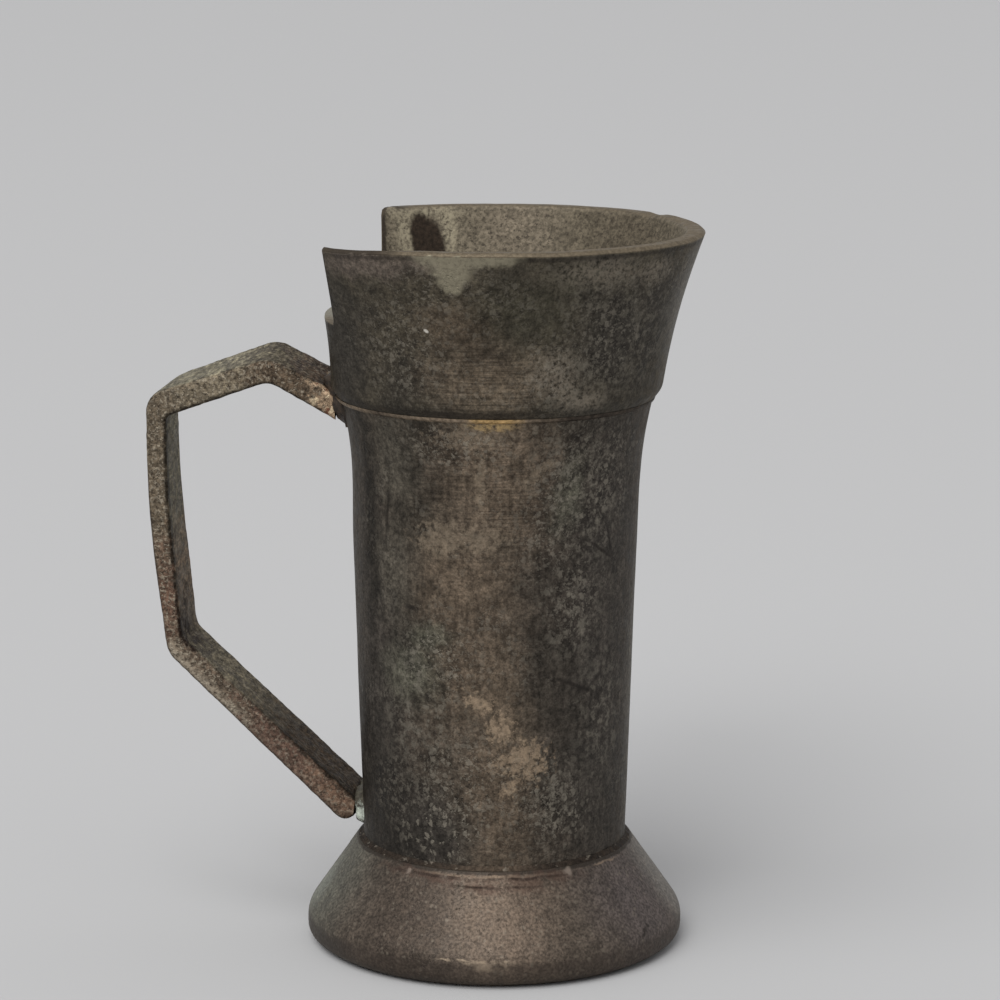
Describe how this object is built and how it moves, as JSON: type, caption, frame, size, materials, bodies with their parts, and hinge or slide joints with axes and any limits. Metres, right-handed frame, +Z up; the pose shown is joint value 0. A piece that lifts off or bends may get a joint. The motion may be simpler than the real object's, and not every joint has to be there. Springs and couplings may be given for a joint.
{
  "type": "measuring cup",
  "caption": "Small footed brass measuring cup: tapered tube, flared mouth with a notch cut over the handle, turned foot and angular strap handle.",
  "frame": {"origin": "centre of the foot's flat underside, on the cup's axis", "axes": "+Z up along the cup's axis, handle along -X, so +Y and -Y are its two like sides"},
  "size_m": [0.0373, 0.0276, 0.0483],
  "materials": {
    "foot_brass": "turned brass gone brown-grey, fine even grain",
    "tube_brass": "dark mottled patina with pale specks and worn pinkish-brown patches",
    "mouth_brass": "dark patina outside, lighter pitted beige-grey inside",
    "strap_brass": "filed and tarnished strip, greenish grey on top and red-brown at the sides",
    "seam_solder": "thin run solder line, worn to a dull gold",
    "bright_solder": "bare brazed metal, bright where it was filed",
    "grey_solder": "grey-green crusted solder"
  },
  "bodies": {
    "root": {"foot": "foot_brass", "neck_seam_ring": "seam_solder", "beaker_tube": "tube_brass", "flared_mouth": "mouth_brass", "collar_solder": "seam_solder", "handle_strap": "strap_brass", "upper_handle_solder": "bright_solder", "lower_handle_solder": "grey_solder"}
  },
  "joints": []
}
